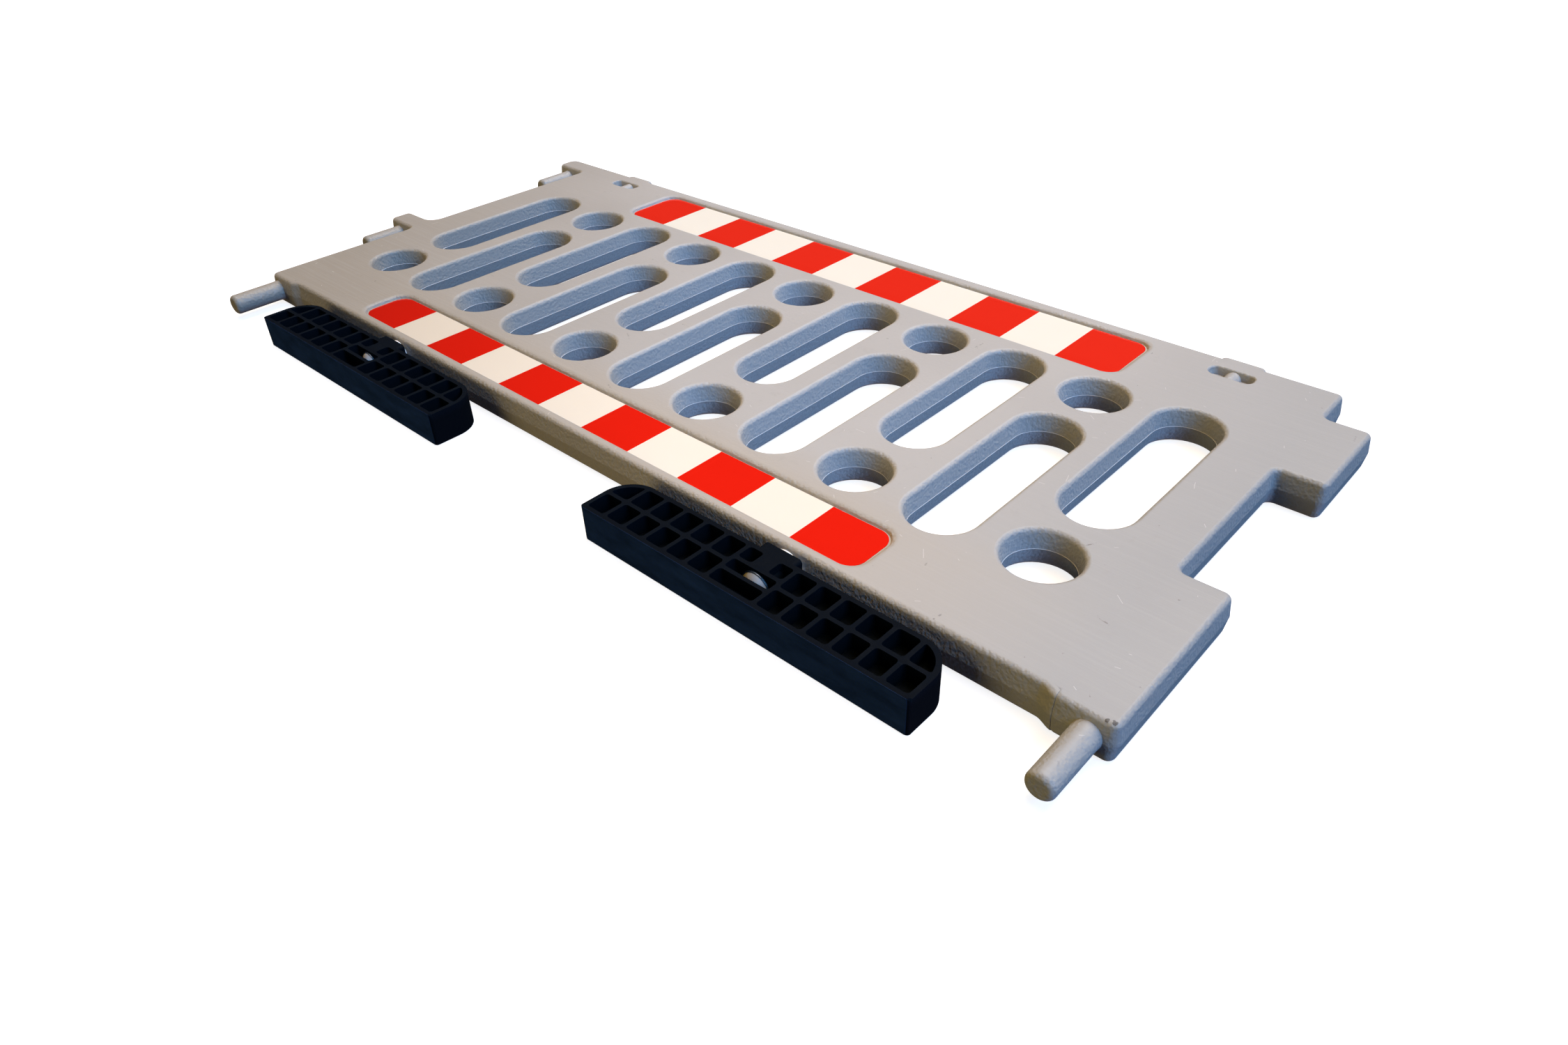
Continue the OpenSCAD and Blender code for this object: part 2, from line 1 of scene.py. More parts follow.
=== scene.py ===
# %% [markdown]
# A road-works barrier lies on its back: one long blow-moulded panel with two rubber feet turned flat
# along its bottom edge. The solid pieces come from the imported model, and this script gives them the
# finish that the real ones have: grained polyethylene, reflective film, dusty rubber, nylon and zinc.
# Lengths below are written in millimetres where they are easier to read so, and MM turns them to metres.

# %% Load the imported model
import math

import bmesh
import bpy
from mathutils import Matrix, Vector


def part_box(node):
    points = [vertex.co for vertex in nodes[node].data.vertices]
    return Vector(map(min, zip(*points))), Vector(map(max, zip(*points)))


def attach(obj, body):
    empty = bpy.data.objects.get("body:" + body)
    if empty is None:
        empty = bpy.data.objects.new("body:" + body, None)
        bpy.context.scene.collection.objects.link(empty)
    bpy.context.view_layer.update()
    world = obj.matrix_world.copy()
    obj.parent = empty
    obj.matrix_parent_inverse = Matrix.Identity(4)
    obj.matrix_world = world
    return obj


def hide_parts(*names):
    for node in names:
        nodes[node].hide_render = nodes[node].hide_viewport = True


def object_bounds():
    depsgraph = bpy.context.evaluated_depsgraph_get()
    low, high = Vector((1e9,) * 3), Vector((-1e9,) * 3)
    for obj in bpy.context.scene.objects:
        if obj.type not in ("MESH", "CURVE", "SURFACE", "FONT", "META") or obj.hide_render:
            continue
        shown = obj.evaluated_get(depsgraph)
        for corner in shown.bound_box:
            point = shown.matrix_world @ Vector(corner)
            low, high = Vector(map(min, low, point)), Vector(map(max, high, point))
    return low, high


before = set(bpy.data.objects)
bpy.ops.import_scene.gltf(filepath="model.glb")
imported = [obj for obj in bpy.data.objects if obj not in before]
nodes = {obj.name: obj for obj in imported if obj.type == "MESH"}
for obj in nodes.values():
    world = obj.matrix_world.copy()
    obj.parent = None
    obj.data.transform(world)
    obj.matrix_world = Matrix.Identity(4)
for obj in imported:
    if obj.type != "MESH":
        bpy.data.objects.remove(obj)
cad_box = [[float(v) for v in corner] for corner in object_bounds()]
MM = 0.001
print("nodes:", len(nodes), "box of the model:", cad_box)

# %% [markdown]
# The camera stands at the right-hand end, a little above the barrier, and looks along it with a fairly
# wide lens, so the near corner is large and the far end small. Its place was worked out from the straight
# edges and the regular holes, so every point of the model falls on its own point of the picture. A camera
# could also be aimed by an empty that it tracks, but a matrix from its own right and up directions keeps
# the exact roll of a picture taken by hand.

# %% Camera
CAMERA_AT = Vector((1.2699, -1.1671, 0.8993))
CAMERA_RIGHT = Vector((0.73795, 0.67431, -0.02710))
CAMERA_UP = Vector((-0.38361, 0.45217, 0.80522))
LENS_MM = 24.13
SENSOR_MM = 36.0
NEAREST = 10 * MM

camera_data = bpy.data.cameras.new("camera")
camera_data.lens = LENS_MM
camera_data.sensor_width = SENSOR_MM
camera_data.clip_start = NEAREST
camera = bpy.data.objects.new("camera", camera_data)
axes = Matrix((CAMERA_RIGHT, CAMERA_UP, CAMERA_RIGHT.cross(CAMERA_UP))).transposed()
camera.matrix_world = Matrix.Translation(CAMERA_AT) @ axes.to_4x4()
bpy.context.scene.collection.objects.link(camera)
bpy.context.scene.camera = camera
print("camera", LENS_MM, "mm at", tuple(round(v, 3) for v in CAMERA_AT))

# %% [markdown]
# Colours are written as the hex values that a paint program shows. Blender mixes light in linear
# numbers, so one function turns each hex value into those. Every finish below is a tree of shader nodes,
# and one more function adds any node with its settings, its values and its links in a single call. Where
# an input is given a whole node, it is linked to the first output that the node has in use. That keeps
# each material short enough to read from top to end.

# %% Colour and node helpers
def linear(hex_colour):
    """The linear red, green, blue and alpha of an sRGB hex colour."""
    channels = [int(hex_colour[i:i + 2], 16) / 255 for i in (1, 3, 5)]
    return [c / 12.92 if c <= 0.04045 else ((c + 0.055) / 1.055) ** 2.4 for c in channels] + [1.0]


def fill(node, sockets):
    """Gives inputs, by name or number, a number, a hex colour, or a link from a node or an output."""
    for name, value in sockets.items():
        if isinstance(value, bpy.types.Node):
            value = next(output for output in value.outputs if output.enabled)
        if isinstance(value, bpy.types.NodeSocket):
            node.id_data.links.new(value, node.inputs[name])
        else:
            node.inputs[name].default_value = linear(value) if isinstance(value, str) else value


def add(tree, kind, sockets=None, **settings):
    """Adds a shader node with its settings and fills its inputs."""
    node = tree.nodes.new("ShaderNode" + kind)
    for name, value in settings.items():
        setattr(node, name, value)
    fill(node, sockets or {})
    return node


def new_material(name):
    """A new material, its node tree and its shader."""
    material = bpy.data.materials.new(name)
    material.use_nodes = True
    return material, material.node_tree, material.node_tree.nodes["Principled BSDF"]


print("sRGB #808080 in linear light:", round(linear("#808080")[0], 4))

# %% [markdown]
# The textures use the object's own space in metres, so a texture's scale is the number of its features in
# one metre, and each can be set from a real size. Two more names help to read the trees: a Mix node has
# inputs for numbers and vectors before its two colours, which are inputs 6 and 7.

# %% Pattern sizes
UNDER, OVER = 6, 7


def per_metre(size_mm):
    """Scale of a texture whose features are that many millimetres across."""
    return 1000 / size_mm


print("features of 4 mm:", per_metre(4), "in a metre")

# %% [markdown]
# The panel is high-density polyethylene, blown into a steel mould whose sides are etched with a leather
# grain. Polyethylene is too soft and waxy for paint, so its colour goes right through, and years outdoors
# leave it with scratches, scuffs and dirt. An image of a worn panel could be laid over it, but it would
# stretch on the walls and blur near the camera. Here every pattern is worked out from its real size and
# from the place on the panel, so it needs no unwrapping and stays sharp.
#
# The first are short marks from dragging and stacking. A Voronoi texture cuts the plane in cells. In each
# cell a thin line is drawn through the cell's own point and turned by a chance angle, and its two ends are
# cut off. The place is bent a little beforehand, so no mark is ruler-straight.

# %% Scratch and scuff pattern
BEND_EVERY_MM = 25
BEND_BY_MM = 3
FULL_WIDTH, FADED_WIDTH = 0.25, 0.6  # shares of a mark's width where it is still full and where it ends


def marks(tree, place, cell_mm, length_mm, width_mm, share, seed):
    """Short thin marks, at most one in each cell, each turned its own way and slightly bent."""
    shifted = add(tree, "Mapping", {"Vector": place, "Location": (seed, seed * 0.7, 0)})
    bend = add(tree, "TexNoise", {"Vector": place, "Scale": per_metre(BEND_EVERY_MM), "Detail": 1.0})
    bent = add(tree, "VectorMath", {0: bend.outputs["Color"], "Scale": BEND_BY_MM * MM}, operation="SCALE")
    spot = add(tree, "VectorMath", {0: shifted, 1: bent}, operation="ADD")
    cells = add(tree, "TexVoronoi", {"Vector": spot, "Scale": per_metre(cell_mm)}, voronoi_dimensions="2D")
    offset = add(tree, "VectorMath", {0: spot, 1: cells.outputs["Position"]}, operation="SUBTRACT")
    chance = add(tree, "SeparateColor", {"Color": cells.outputs["Color"]}).outputs
    angle = add(tree, "Math", {0: chance["Red"], 1: 2 * math.pi}, operation="MULTIPLY")
    turned = add(tree, "VectorRotate", {"Vector": offset, "Angle": angle}, rotation_type="Z_AXIS")
    axis = add(tree, "SeparateXYZ", {"Vector": turned}).outputs
    along = add(tree, "Math", {0: axis["X"]}, operation="ABSOLUTE")
    across = add(tree, "Math", {0: axis["Y"]}, operation="ABSOLUTE")
    half = add(tree, "Math", {0: chance["Green"], 1: length_mm / 2 * MM}, operation="MULTIPLY")
    within = add(tree, "Math", {0: along, 1: half}, operation="LESS_THAN")
    thin = add(tree, "MapRange", {"Value": across, "From Min": width_mm * FULL_WIDTH * MM,
                                  "From Max": width_mm * FADED_WIDTH * MM, "To Min": 1.0, "To Max": 0.0})
    chosen = add(tree, "Math", {0: chance["Blue"], 1: share}, operation="LESS_THAN")
    line = add(tree, "Math", {0: within, 1: thin}, operation="MULTIPLY")
    return add(tree, "Math", {0: line, 1: chosen}, operation="MULTIPLY")


print("bend of a mark:", BEND_BY_MM, "mm over", BEND_EVERY_MM, "mm")

# %% [markdown]
# The near corner was knocked, and dirt sits in the two ragged chips. Towards the lower left end the light
# falls off, so a painted shade makes that end darker and more yellow, on the panel and on its film alike,
# and both share one mask that grows slowly towards that end.

# %% Chips and the painted shade of the far end
CHIP_GRIT_MM = 4
CHIP_EDGE_MM = 0.8


def chip(tree, place, at, size_mm):
    """A small ragged spot of dirt round a point."""
    away = add(tree, "VectorMath", {0: place, 1: at}, operation="DISTANCE")
    ragged = add(tree, "TexNoise", {"Vector": place, "Scale": per_metre(CHIP_GRIT_MM), "Detail": 3.0})
    reach = add(tree, "Math", {0: ragged, 1: 2 * size_mm * MM}, operation="MULTIPLY")
    inside = add(tree, "Math", {0: reach, 1: away}, operation="SUBTRACT")
    return add(tree, "MapRange", {"Value": inside, "From Max": CHIP_EDGE_MM * MM})


def far_end_shade(tree, place):
    """The mask of the painted shade: grows from 0 to 1 towards the lower left end."""
    at = add(tree, "SeparateXYZ", {"Vector": place}).outputs
    up = add(tree, "Math", {0: at["Y"], 1: 0.9}, operation="MULTIPLY")
    reach = add(tree, "Math", {0: at["X"], 1: up}, operation="ADD")
    back = add(tree, "Math", {0: reach, 1: -1.0}, operation="MULTIPLY")
    return add(tree, "MapRange", {"Value": back, "From Min": 0.05, "From Max": 1.1})


print("chip edge:", CHIP_EDGE_MM, "mm")

# %% [markdown]
# The marks are put together in layers, each a mask and a colour, from the first to the last that the
# panel met: pale scratches, grey scuffs that are broken up by a fine patchiness, and dirt in the chips.
# They belong on the two broad faces, which are the ones that rub on a stack.

# %% Wear of the panel
SCRATCHES = ((95, 20, 0.8, 0.4, 3.1), (52, 8, 0.8, 0.4, 7.7))  # cell, length, width in mm; share; seed
SCUFFS = ((120, 26, 2.6, 0.5, 12.3), (90, 4, 2.2, 0.6, 5.9))
CHIPS = (((0.992, -0.376, 0.058), 3.6), ((0.984, -0.378, 0.059), 2.6))  # place in metres; size in mm
SCUFF_PATCH_MM = 5


def wear_layers(tree, place, on_face):
    scratch = add(tree, "Math", {i: marks(tree, place, *size) for i, size in enumerate(SCRATCHES)},
                  operation="MAXIMUM")
    scratch = add(tree, "Math", {0: scratch, 1: on_face}, operation="MULTIPLY")
    scuff = add(tree, "Math", {i: marks(tree, place, *size) for i, size in enumerate(SCUFFS)},
                operation="MAXIMUM")
    patches = add(tree, "TexNoise", {"Vector": place, "Scale": per_metre(SCUFF_PATCH_MM), "Detail": 3.0})
    patchy = add(tree, "MapRange", {"Value": patches, "From Min": 0.47, "From Max": 0.6})
    scuff = add(tree, "Math", {0: scuff, 1: on_face}, operation="MULTIPLY")
    scuff = add(tree, "Math", {0: scuff, 1: patchy}, operation="MULTIPLY")
    chips = add(tree, "Math", {i: chip(tree, place, *size) for i, size in enumerate(CHIPS)},
                operation="MAXIMUM")
    return [(add(tree, "Math", {0: cover, 1: strength}, operation="MULTIPLY"), colour)
            for cover, strength, colour in ((scratch, 0.6, "#dcd9d4"), (scuff, 0.6, "#5f5850"),
                                            (chips, 0.8, "#3a332c"))]


print("wear:", len(SCRATCHES), "kinds of scratch,", len(SCUFFS), "of scuff,", len(CHIPS), "chips")

# %% [markdown]
# Under the marks lies the plastic's own colour. It is a warm grey in two close tones that drift like
# clouds, smudged in small spots, and streaked along the panel where the mould's sides were polished. Light
# and shade are painted into it as well: a cooler, darker painted shade at the near end, a creamier painted
# warm light along the low rail, and a darker, yellower painted shade at the far end.

# %% Colour of the panel
CLOUD_MM = 260
SMUDGE_MM = 35
STREAK_MM = 120
STREAK_STRETCH = 40.0


def panel_colour(tree, place, clouds, on_face):
    at = add(tree, "SeparateXYZ", {"Vector": place}).outputs
    # Painted shade: the face is cooler and darker towards the near end.
    near_end_shade = add(tree, "MapRange", {"Value": at["X"], "From Min": 0.52, "From Max": 0.92})
    # Painted warm light: creamier along the low rail, but not at the near end.
    rail = add(tree, "MapRange", {"Value": at["Y"], "From Min": -0.25, "From Max": -0.17, "To Min": 0.85,
                                  "To Max": 0.0})
    elsewhere = add(tree, "Math", {0: 1.0, 1: near_end_shade}, operation="SUBTRACT")
    low_rail_light = add(tree, "Math", {0: rail, 1: elsewhere}, operation="MULTIPLY")
    spots = add(tree, "TexNoise", {"Vector": place, "Scale": per_metre(SMUDGE_MM), "Detail": 6.0,
                                   "Roughness": 0.7})
    smudge = add(tree, "MapRange", {"Value": spots, "From Min": 0.6, "From Max": 0.78, "To Max": 0.35})
    drawn_out = add(tree, "Mapping", {"Vector": place, "Scale": (1.0, STREAK_STRETCH, 1.0)})
    streaks = add(tree, "TexNoise", {"Vector": drawn_out, "Scale": per_metre(STREAK_MM), "Detail": 3.0})
    pale = add(tree, "MapRange", {"Value": streaks, "From Min": 0.45, "From Max": 0.75, "To Max": 0.13})
    streak = add(tree, "Math", {0: pale, 1: on_face}, operation="MULTIPLY")
    tone = add(tree, "Mix", {"Factor": clouds, UNDER: "#ada8a1", OVER: "#b5b0a9"}, data_type="RGBA")
    # The near end's, the low rail's and the far end's colours are painted shade and light; the smudges,
    # streaks and wear are the plastic's own.
    layers = [(near_end_shade, "#9e9c98"), (low_rail_light, "#b0a698"), (far_end_shade(tree, place), "#958c7e"),
              (smudge, "#99938b"), (streak, "#bab6b1")] + wear_layers(tree, place, on_face)
    for cover, colour in layers:
        tone = add(tree, "Mix", {"Factor": cover, UNDER: tone, OVER: colour}, data_type="RGBA")
    return tone


print("clouds", CLOUD_MM, "mm, smudges", SMUDGE_MM, "mm, streaks", STREAK_MM, "mm")

# %% [markdown]
# The leather grain keeps the walls dull and makes light crawl over them. On the broad faces it is worn
# nearly flat, and fine lines along the panel take its place. Both are a bump, which bends the shading and
# not the mesh: as real shape they would need millions of faces.

# %% Relief of the panel
GRAIN_MM = 4.0  # the real grain is 2.5 mm across, too fine to show from here, so it is drawn coarser
SOFT_GRAIN_MM = GRAIN_MM * 1.6
GRAIN_DEPTH_MM = 1.6  # deeper than the real one, in step with its width
GRAIN_ON_FACE = 0.12
LINE_MM = 2.2  # from one line to the next; the real ones are finer
LINE_STRETCH = 0.04
LINE_STRENGTH = 0.05


def panel_relief(tree, place, on_face):
    grain = add(tree, "TexVoronoi", {"Vector": place, "Scale": per_metre(GRAIN_MM)}, feature="SMOOTH_F1")
    soft = add(tree, "TexNoise", {"Vector": place, "Scale": per_metre(SOFT_GRAIN_MM), "Detail": 2.0})
    bumps = add(tree, "Math", {0: grain, 1: 0.6}, operation="MULTIPLY")
    hide = add(tree, "Math", {0: bumps, 1: soft}, operation="ADD")
    unworn = add(tree, "MapRange", {"Value": on_face, "To Min": 1.0, "To Max": GRAIN_ON_FACE})
    hide = add(tree, "Math", {0: hide, 1: unworn}, operation="MULTIPLY")
    drawn_out = add(tree, "Mapping", {"Vector": place, "Scale": (LINE_STRETCH, 1.0, 1.0)})
    lines = add(tree, "TexNoise", {"Vector": drawn_out, "Scale": per_metre(LINE_MM), "Detail": 3.0})
    on_face_only = add(tree, "Math", {0: on_face, 1: LINE_STRENGTH}, operation="MULTIPLY")
    lined = add(tree, "Math", {0: lines, 1: on_face_only}, operation="MULTIPLY")
    height = add(tree, "Math", {0: hide, 1: lined}, operation="ADD")
    return add(tree, "Bump", {"Height": height, "Strength": 0.8, "Distance": GRAIN_DEPTH_MM * MM})


print("grain", GRAIN_MM, "mm across")

# %% [markdown]
# Polyethylene has an index of refraction of 1.54. Its waxy, half-dull surface gives a broad soft shine
# with no clear reflection, so its roughness is about a half. The mask of the broad faces comes from the
# direction of the surface: it is 1 where the surface faces straight up or down, and 0 on the walls.

# %% Blow-moulded polyethylene
def blow_moulded_polyethylene():
    material, tree, shader = new_material("polyethylene_blow_moulded")
    place = add(tree, "TexCoord").outputs["Object"]
    normal = add(tree, "NewGeometry").outputs["Normal"]
    facing = add(tree, "SeparateXYZ", {"Vector": normal}).outputs["Z"]
    level = add(tree, "Math", {0: facing}, operation="ABSOLUTE")
    on_face = add(tree, "MapRange", {"Value": level, "From Min": 0.93, "From Max": 0.995})
    clouds = add(tree, "TexNoise", {"Vector": place, "Scale": per_metre(CLOUD_MM), "Detail": 4.0,
                                    "Roughness": 0.6})
    rough = add(tree, "MapRange", {"Value": clouds, "From Min": 0.3, "From Max": 0.7, "To Min": 0.46,
                                   "To Max": 0.58})
    fill(shader, {"Base Color": panel_colour(tree, place, clouds, on_face), "Roughness": rough,
                  "Normal": panel_relief(tree, place, on_face), "IOR": 1.54})
    return material


polyethylene = blow_moulded_polyethylene()
print("material:", polyethylene.name, len(polyethylene.node_tree.nodes), "nodes")

# %% [markdown]
# The warning strips are retroreflective film: acrylic over a bed of tiny glass beads. The beads throw
# light straight back, so the film looks brighter and flatter than paint, and the clear skin over them
# gives it a sharp gloss. One smooth red plastic would look like a painted board. So a clear coat on the
# shader stands for the skin, with a slow ripple of its own, a fine sparkle stands for the beads, and the
# layer under the coat has no gloss. The far end has the panel's painted shade, darker and warmer, and the
# top strip is a little hazy.

# %% Retroreflective film
BEAD_MM = 0.9  # real beads are under 0.1 mm across, too fine to show, so they are drawn coarser
WAVE_MM = 180
WAVE_HEIGHT_MM = 0.6
ACRYLIC_IOR = 1.49


def reflective_film(name, colour, deep, dusty, hazy):
    material, tree, shader = new_material(name)
    place = add(tree, "TexCoord").outputs["Object"]
    up = add(tree, "SeparateXYZ", {"Vector": place}).outputs["Y"]
    beads = add(tree, "TexVoronoi", {"Vector": place, "Scale": per_metre(BEAD_MM)})
    sparkle = add(tree, "MapRange", {"Value": beads, "From Max": 0.8, "To Max": 0.25})
    wave = add(tree, "TexNoise", {"Vector": place, "Scale": per_metre(WAVE_MM), "Detail": 2.0})
    patchy = add(tree, "MapRange", {"Value": wave, "From Min": 0.3, "From Max": 0.8, "To Max": 0.15})
    top_strip = add(tree, "MapRange", {"Value": up, "From Min": 0.2, "From Max": 0.35})
    tone = colour
    # the colour called dusty is the painted shade of the far end, darker and warmer
    for cover, over in ((sparkle, deep), (patchy, deep), (far_end_shade(tree, place), dusty),
                        (top_strip, hazy)):
        tone = add(tree, "Mix", {"Factor": cover, UNDER: tone, OVER: over}, data_type="RGBA")
    ripple = add(tree, "Bump", {"Height": wave, "Strength": 0.25, "Distance": WAVE_HEIGHT_MM * MM})
    fill(shader, {"Base Color": tone, "Coat Normal": ripple, "Roughness": 0.5, "IOR": ACRYLIC_IOR,
                  "Specular IOR Level": 0.0, "Coat Weight": 1.0, "Coat Roughness": 0.06})
    return material


# the fourth colour of each film is its painted shade at the far end
red_film = reflective_film("acrylic_film_red", "#e5200f", "#d41609", "#b5180c", "#e22b1a")
white_film = reflective_film("acrylic_film_white", "#f3e8d5", "#ebe0cb", "#cbbca5", "#f3ebda")
print("materials:", red_film.name, white_film.name)

# %% [markdown]
# The feet are pressed from crumbs of recycled rubber. It is nearly black with a blue cast and dull all
# over, and a little paler where it is dusty or where an edge is worn. Shade is painted in: a darker colour
# low on the foot and deep inside the open cells. The sole has a painted blue sheen, as of light grazing
# it, broken up by dusty smears. The masks of the cells and the sole come from the place in the model,
# since no pattern could tell them from the rest.

# %% Colour of the rubber
DUST_MM = 28
SMEAR_MM = 70
CELL_SHADE_BELOW_Z, CELL_RIM_Z = 0.045, 0.0588  # metres above the floor
SOLE_FROM, SOLE_TO = 0.4926, 0.4929  # metres from the middle of the model down to the sole


def rubber_colour(tree, place, dust):
    at = add(tree, "SeparateXYZ", {"Vector": place}).outputs
    dusty = add(tree, "MapRange", {"Value": dust, "From Min": 0.5, "From Max": 0.75, "To Max": 0.45})
    corner = add(tree, "NewGeometry").outputs["Pointiness"]
    worn = add(tree, "MapRange", {"Value": corner, "From Min": 0.52, "From Max": 0.6, "To Max": 0.3})
    # Painted shade: darker lower than 45 mm above the floor, inside the open cells and low on the walls.
    top = add(tree, "MapRange", {"Value": at["Z"], "From Min": CELL_SHADE_BELOW_Z, "From Max": CELL_RIM_Z})
    stretched = add(tree, "Mapping", {"Vector": place, "Scale": (1.0, 1.0, 3.0)})
    smears = add(tree, "TexNoise", {"Vector": stretched, "Scale": per_metre(SMEAR_MM), "Detail": 5.0,
                                    "Roughness": 0.6})
    # The sole's painted blue sheen, as light grazing it gives, broken up by dusty smears.
    sole_sheen_smears = add(tree, "MapRange", {"Value": smears, "From Min": 0.3, "From Max": 0.7, "To Min": 0.4})
    down = add(tree, "Math", {0: at["Y"], 1: -1.0}, operation="MULTIPLY")
    outermost = add(tree, "MapRange", {"Value": down, "From Min": SOLE_FROM, "From Max": SOLE_TO})
    sole = add(tree, "Math", {0: outermost, 1: sole_sheen_smears}, operation="MULTIPLY")
    tone = add(tree, "Mix", {"Factor": dusty, UNDER: "#04080f", OVER: "#0a111b"}, data_type="RGBA")
    tone = add(tree, "Mix", {"Factor": worn, UNDER: tone, OVER: "#101a24"}, data_type="RGBA")
    tone = add(tree, "Mix", {"Factor": top, UNDER: "#03060a", OVER: tone}, data_type="RGBA")
    # Painted sheen: the sole's blue colour.
    return add(tree, "Mix", {"Factor": sole, UNDER: tone, OVER: "#223862"}, data_type="RGBA")


print("dust", DUST_MM, "mm, smears", SMEAR_MM, "mm")

# %% [markdown]
# The crumbs give the rubber its matt look. They are a fine bump, and the roughness drifts between 0.62
# and 0.85 with the dust, so the few highlights on the foot break up and never run in a clean line. A low
# specular level keeps the crumbs from glittering. Rubber has an index of about 1.52.

# %% Recycled rubber
CRUMB_MM = 2.5  # real crumbs are about 1 mm across, too fine to show from here, so they are drawn coarser
CRUMB_HEIGHT_MM = 0.3


def recycled_rubber():
    material, tree, shader = new_material("rubber_recycled_pressed")
    place = add(tree, "TexCoord").outputs["Object"]
    crumbs = add(tree, "TexNoise", {"Vector": place, "Scale": per_metre(CRUMB_MM), "Detail": 5.0,
                                    "Roughness": 0.6})
    dust = add(tree, "TexNoise", {"Vector": place, "Scale": per_metre(DUST_MM), "Detail": 8.0,
                                  "Roughness": 0.72})
    rough = add(tree, "MapRange", {"Value": dust, "From Min": 0.3, "From Max": 0.7, "To Min": 0.62,
                                   "To Max": 0.85})
    bump = add(tree, "Bump", {"Height": crumbs, "Strength": 0.5, "Distance": CRUMB_HEIGHT_MM * MM})
    fill(shader, {"Base Color": rubber_colour(tree, place, dust), "Roughness": rough, "Normal": bump,
                  "IOR": 1.52, "Specular IOR Level": 0.07})
    return material


rubber = recycled_rubber()
print("material:", rubber.name, len(rubber.node_tree.nodes), "nodes")

# %% [markdown]
# Each foot turns on a bolt. Its head and the washer between foot and panel are white nylon, moulded
# smooth, which looks milky with a soft shine. The washer at the head and the sleeve inside are zinc-plated
# steel, a cool grey with a faint spangle, and the insert in the panel is turned brass. All three are made
# the same way: two close tones in fine patches, with a slightly uneven gloss. Metals keep the default
# index.

# %% Nylon, zinc and brass
GLOSS_SPREAD = 0.06


def plain_finish(name, colour, shade, patch_mm, roughness, metallic=0.0, ior=1.5):
    """A moulded or plated finish: two close tones in fine patches, with a slightly uneven gloss."""
    material, tree, shader = new_material(name)
    place = add(tree, "TexCoord").outputs["Object"]
    patches = add(tree, "TexNoise", {"Vector": place, "Scale": per_metre(patch_mm), "Detail": 4.0})
    tone = add(tree, "Mix", {"Factor": patches, UNDER: colour, OVER: shade}, data_type="RGBA")
    gloss = add(tree, "MapRange", {"Value": patches, "From Min": 0.3, "From Max": 0.7,
                                   "To Min": roughness - GLOSS_SPREAD, "To Max": roughness + GLOSS_SPREAD})
    fill(shader, {"Base Color": tone, "Roughness": gloss, "Metallic": metallic, "IOR": ior})
    return material


nylon = plain_finish("nylon_white_moulded", "#f3f1ec", "#dedbd3", 9, 0.35, ior=1.53)
zinc = plain_finish("steel_zinc_plated", "#b9bdc2", "#8f959c", 4, 0.38, metallic=1.0)
brass = plain_finish("brass_turned", "#c9a255", "#b08a3f", 3, 0.3, metallic=1.0)
print("materials:", nylon.name, zinc.name, brass.name)

# %% [markdown]
# A mesh that comes from a solid model has its corners split, so light breaks at every small facet. The
# cure is a copy with the corners joined again, shaded smooth, with hard lines kept only where the real
# moulding has them: at the parting line and at angles that are too steep for a rounded edge. Shading the
# whole piece smooth without those lines would make the flat faces look like pillows.

# %% Smooth copies of the solid pieces
HARD_ANGLE = math.radians(32)
PARTING_ANGLE = math.radians(4)
PARTING_Z = 30 * MM
WELD = 0.01 * MM


def smooth_copy(node_name, piece_name, body, material, crease_z=None):
    """Copies a solid piece, joins its corners, shades it smooth, and lets the copy stand for the node."""
    mesh = nodes[node_name].data.copy()
    mesh.name = piece_name
    work = bmesh.new()
    work.from_mesh(mesh)
    bmesh.ops.remove_doubles(work, verts=work.verts, dist=WELD)
    for face in work.faces:
        face.smooth = True
        face.material_index = 0
    for edge in work.edges:
        if len(edge.link_faces) != 2:
            continue
        angle = edge.calc_face_angle(0.0)
        at_parting = crease_z is not None and all(abs(v.co.z - crease_z) < WELD for v in edge.verts)
        edge.smooth = not (angle > HARD_ANGLE or (at_parting and angle > PARTING_ANGLE))
    work.to_mesh(mesh)
    work.free()
    mesh.materials.clear()
    mesh.materials.append(material)
    piece = bpy.data.objects.new(piece_name, mesh)
    bpy.context.scene.collection.objects.link(piece)
    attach(piece, body)
    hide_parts(node_name)
    return piece


print("edges sharper than", round(math.degrees(HARD_ANGLE)), "degrees stay hard")

# %% [markdown]
# Smooth shading still bends the light near a rounded edge, for the big flat face and the narrow bend next
# to it share their corner normals. A modifier weights these by face size, so the flat face wins and the
# bend alone curves. The panel is the first piece to get both.

# %% Panel shell
def even_normals(piece):
    """Weights the shading by face size, so a flat face stays flat up to its rounded edge."""
    weighted = piece.modifiers.new("even_normals", "WEIGHTED_NORMAL")
    weighted.keep_sharp = True
    weighted.weight = 100


shell = smooth_copy("panel", "panel_shell", "barrier", polyethylene, PARTING_Z)
even_normals(shell)
print("panel shell:", len(shell.data.vertices), "points,", len(shell.data.polygons), "faces")

# %% [markdown]
# The films lie in two shallow recesses whose walls come up in one wide soft curve, as thin blown plastic
# does over a raised part of the mould. A bevel would round only the rim. So each point of a recess wall is
# moved sideways, by its height above the recess floor, and the wall starts close to the film and ends in a
# rim that is a quarter of an ellipse.

# %% Soft rims of the recesses
FRONT_Z = 60 * MM
RECESS_DEPTH = 6.6 * MM
RECESS_CORNER = 28 * MM
RECESS_HALF_X = 609 * MM
RECESS_MARGIN = 2 * MM
WALL_INSIDE, WALL_OUTSIDE = -0.2 * MM, 6.1 * MM  # how far a wall point stands from the foot of the wall
RIM_START = -0.9 * MM  # from the solid's wall to where the soft one starts, beside the film
RIM_WIDTH = 10.4 * MM  # from there to the end of the rim
LEVEL_SPARE = 0.001  # of the depth, for points that stand on the floor or on the face
STRIPS = {"top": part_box("strip_top_red"), "bottom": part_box("strip_bottom_red")}


